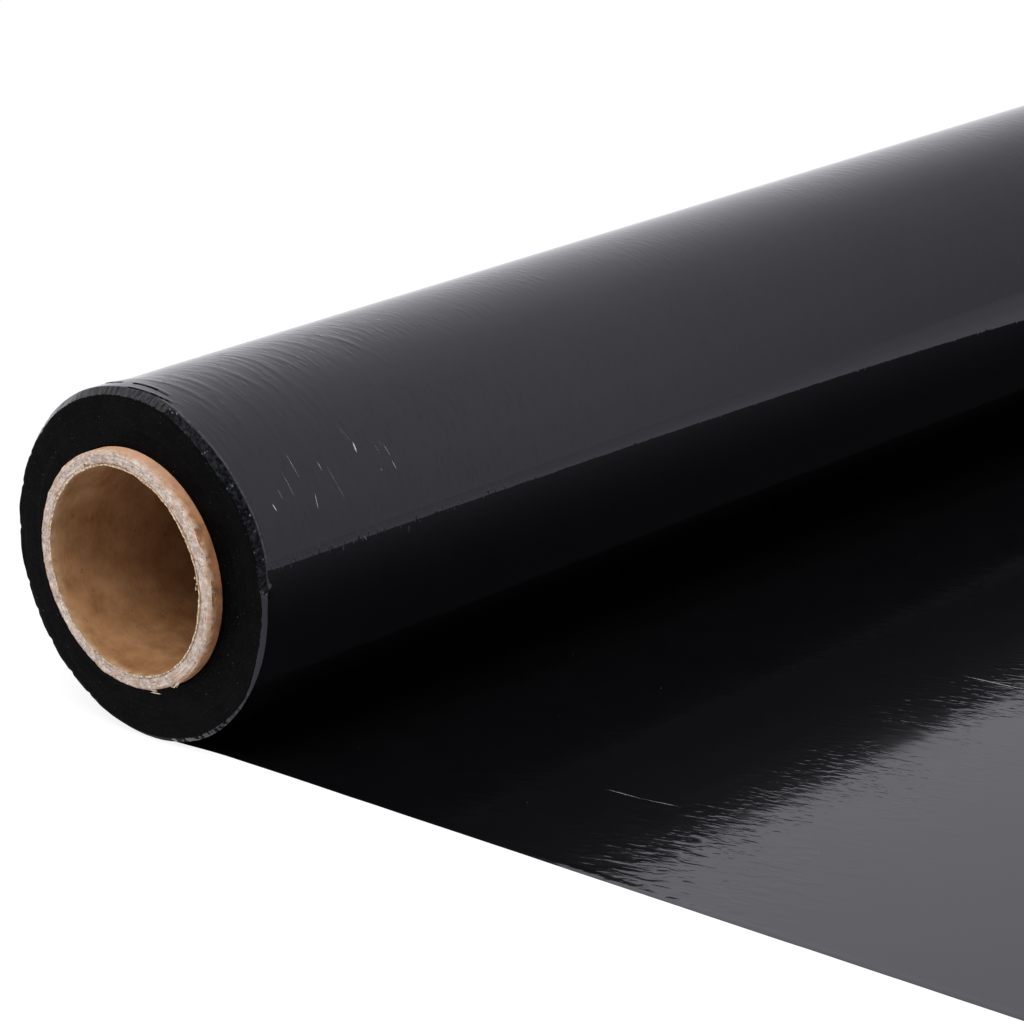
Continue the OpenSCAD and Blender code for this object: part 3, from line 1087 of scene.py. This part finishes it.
def core_frays():
    """Torn fibres that stand out by the near mouth."""
    places = []
    for angle, radius, stand_out, length, width, lean, spread in FRAYS:
        a = math.radians(angle)
        out = Vector((0, math.cos(a), math.sin(a)))
        along = Vector((-lean, -math.sin(a), math.cos(a))) + out * spread
        middle = out * (radius * MM) - Vector((CORE_HALF + stand_out * MM, 0, 0))
        places.append((middle, along, (-1, 0, 0), length * MM, width * MM, 0.16 * MM))
    slivers("core_frays", places, CUT_PAPER)


# Floor, light and camera

# World light on dull surfaces, glow of the floor in the view, and the share of it that reflections show
# before the roll, by the near end and by the far end
AMBIENT = 0.45
FLOOR_GLOW = 0.86
FLOOR_IN_MIRROR, FLOOR_FAR_IN_MIRROR = 0.80, 0.65
# Share of the room and floor that is left in a reflection of a reflection, and their tint in reflections
SECOND_MIRROR = 0.42
MIRROR_TINT = (0.955, 0.94, 1.0)
WHITE = (1, 1, 1, 1)
# Direction from which the room is dark in reflections
DARK_WAY = (-0.745, -0.383, 0.548)
# The camera's place in metres, and its yaw, pitch and roll in degrees
CAMERA_PLACE = (-0.8198, -0.6754, 0.3050)
CAMERA_TURNS = (47.002, 18.186, -1.696)


def first_mirror(n):
    """1 in the view and in first reflections, and less in a reflection of a reflection."""
    return n.spread(n.path("Glossy Depth"), 1, 2, 1, SECOND_MIRROR)


def mirror_tint(n, level=1.0):
    """A level of white in the view, and the same with the mirrored room's slight tint in reflections."""
    return n.mix(n.path("Is Glossy Ray"), (level,) * 3, tuple(level * c for c in MIRROR_TINT))


def light_path_seen(n):
    """1 for rays from the camera, reflections and transmission, 0 for the rest."""
    seen = n.path("Is Camera Ray")
    for name in ("Is Glossy Ray", "Is Transmission Ray"):
        seen = n.math("MAXIMUM", seen, n.path(name))
    return seen


def pale_floor():
    """A white floor that keeps the object's shadow. Reflections show it darker before the roll."""
    bpy.ops.mesh.primitive_plane_add(size=30, location=(0, 0, FLOOR_Z))
    floor = bpy.context.object
    floor.name = "floor"
    n = new_material("pale_floor")
    n.tree.nodes.remove(n.tree.nodes["Principled BSDF"])
    plain = n.node("ShaderNodeBsdfDiffuse", {"Color": (0.78, 0.78, 0.78, 1)})
    shaded = n.node("ShaderNodeBsdfDiffuse", {"Color": mirror_tint(n, 0.22)})
    before = n.ramp(n.axis("X"), 0.15, 0.45, FLOOR_IN_MIRROR, FLOOR_FAR_IN_MIRROR)
    mirrored = n.blend(n.ramp(n.axis("Y"), -0.05, 0.05), before, 1)
    level = n.spread(n.path("Is Glossy Ray"), 0, 1, FLOOR_GLOW, n.times(mirrored, FLOOR_GLOW))
    level = n.times(level, first_mirror(n))
    glow = n.node("ShaderNodeEmission", {"Color": mirror_tint(n), "Strength": level})
    both = n.node("ShaderNodeAddShader", {0: shaded, 1: glow})
    surface = n.node("ShaderNodeMixShader", {0: light_path_seen(n), 1: plain, 2: both})
    n.put(surface, n.tree.nodes["Material Output"].inputs["Surface"])
    floor.data.materials.append(n.owner)


def room_in_mirror(n):
    """Brightness of the room by direction: white behind the roll, dimmer beside it, dark round the camera."""
    way = n.node("ShaderNodeTexCoord", {}, "Generated")
    low = n.ramp(n.axis("Z", way), 0, 0.5, 0.77, 0.90)
    side = n.times(low, n.ramp(n.axis("X", way), 0.70, 0.80, 1, 0.73))
    room = n.blend(n.ramp(n.axis("Y", way), 0.10, 0.68), side, 1)
    toward_dark = n.node("ShaderNodeVectorMath", {0: way, 1: DARK_WAY}, "Value", operation="DOT_PRODUCT")
    return n.times(room, n.ramp(toward_dark, 0.74, 0.86, 1, 0.10), first_mirror(n))


def studio_world():
    """A white background, plain ambient light, and the room that shows in the film's gloss."""
    n = Nodes(bpy.data.worlds.new("studio"))
    bpy.context.scene.world = n.owner
    ambient = n.tree.nodes["Background"]
    ambient.inputs["Color"].default_value = WHITE
    ambient.inputs["Strength"].default_value = AMBIENT
    white = n.node("ShaderNodeBackground", {"Color": WHITE, "Strength": 1})
    mirrored = n.node("ShaderNodeBackground", {"Color": (*MIRROR_TINT, 1), "Strength": room_in_mirror(n)})
    shown = n.node("ShaderNodeMixShader", {0: n.path("Is Glossy Ray"), 1: white, 2: mirrored})
    surface = n.node("ShaderNodeMixShader", {0: light_path_seen(n), 1: ambient.outputs[0], 2: shown})
    n.put(surface, n.tree.nodes["World Output"].inputs["Surface"])


def softbox(name, place, aim, size, power):
    light = bpy.data.lights.new(name, "AREA")
    light.shape = "RECTANGLE"
    light.size = size
    light.size_y = size
    light.energy = power
    obj = bpy.data.objects.new(name, light)
    bpy.context.scene.collection.objects.link(obj)
    obj.location = place
    obj.rotation_euler = (Vector(aim) - Vector(place)).to_track_quat("-Z", "Y").to_euler()
    obj.visible_glossy = False


def camera():
    """The camera that took the photo, recovered from the roll's circles and edges."""
    yaw, pitch, roll = (math.radians(turn) for turn in CAMERA_TURNS)
    forward = Vector((math.sin(yaw) * math.cos(pitch), math.cos(yaw) * math.cos(pitch), -math.sin(pitch)))
    right = Vector((math.cos(yaw), -math.sin(yaw), 0))
    up = right.cross(forward)
    right, up = right * math.cos(roll) + up * math.sin(roll), up * math.cos(roll) - right * math.sin(roll)
    data = bpy.data.cameras.new("camera")
    data.sensor_width = 36
    data.lens = 142.03
    data.clip_start = 0.01
    obj = bpy.data.objects.new("camera", data)
    bpy.context.scene.collection.objects.link(obj)
    turn = Matrix((right, up, -forward)).transposed().to_4x4()
    obj.matrix_world = Matrix.Translation(CAMERA_PLACE) @ turn
    bpy.context.scene.camera = obj


camera()
wound_film()
web = pulled_out_film()
film_creases()
dust_bits()
liner()
wrap()
board_wall()
core_frays()
pale_floor()
studio_world()
softbox("key", (-1.0, -0.3, 1.7), (0, 0, 0), 1.2, 24)
bpy.context.scene.view_settings.view_transform = "Standard"
